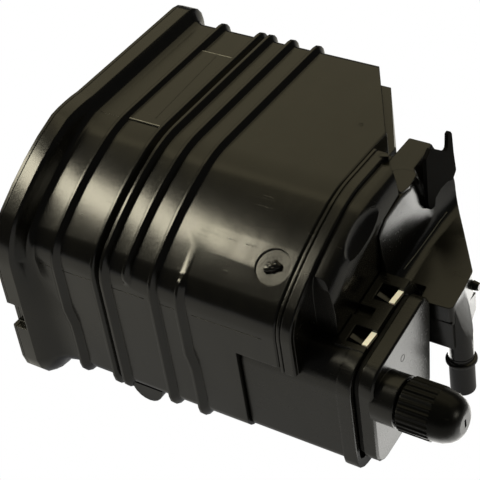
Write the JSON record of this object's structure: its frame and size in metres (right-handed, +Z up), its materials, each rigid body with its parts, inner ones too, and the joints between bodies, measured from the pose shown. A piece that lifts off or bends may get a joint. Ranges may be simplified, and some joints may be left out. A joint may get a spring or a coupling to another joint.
{
  "type": "charcoal canister",
  "caption": "Ribbed black plastic fuel vapour canister with a welded end cover, a vent filter box with a knurled cap, and a fresh air hood and pipe.",
  "frame": {"origin": "under the middle of the whole object, at the height of its lowest point, the flange's lower edge", "axes": "+X along the case from the welded end cover to the vent cap, +Y to the flat far side, away from the sloping front, +Z up through the flat top"},
  "size_m": [0.3154, 0.234, 0.1683],
  "materials": {
    "case_nylon": "semi-gloss moulded black nylon",
    "cover_nylon": "semi-gloss moulded black nylon",
    "head_nylon": "semi-gloss moulded black nylon",
    "box_nylon": "satin moulded black nylon",
    "hood_nylon": "semi-gloss moulded black nylon",
    "cap_nylon": "satin black plastic",
    "bracket_steel": "black coated steel",
    "natural_nylon": "unpigmented cream nylon",
    "seal_rubber": "black rubber",
    "filter_foam": "open grey foam",
    "fleece": "off-white needled fleece",
    "carbon": "packed black carbon pellets",
    "spring_steel": "bright spring wire"
  },
  "bodies": {
    "root": {"canister_case": "case_nylon", "end_cover": "cover_nylon", "head_cover": "head_nylon", "filter_box": "box_nylon", "filter_cover": "box_nylon", "cover_seal": "seal_rubber", "filter_element": "filter_foam", "latch_far": "natural_nylon", "latch_near": "natural_nylon", "vent_cap": "cap_nylon", "air_hood": "hood_nylon", "fresh_air_pipe": "hood_nylon", "bracket_arm": "bracket_steel", "tank_port": "head_nylon", "purge_port": "head_nylon", "main_carbon_bed": "carbon", "vent_carbon_bed": "carbon", "main_front_fleece": "fleece", "main_rear_fleece": "fleece", "vent_front_fleece": "fleece", "vent_rear_fleece": "fleece", "main_grid_plate": "natural_nylon", "vent_grid_plate": "natural_nylon", "main_spring_near": "spring_steel", "main_spring_far": "spring_steel", "vent_spring": "spring_steel"}
  },
  "joints": []
}
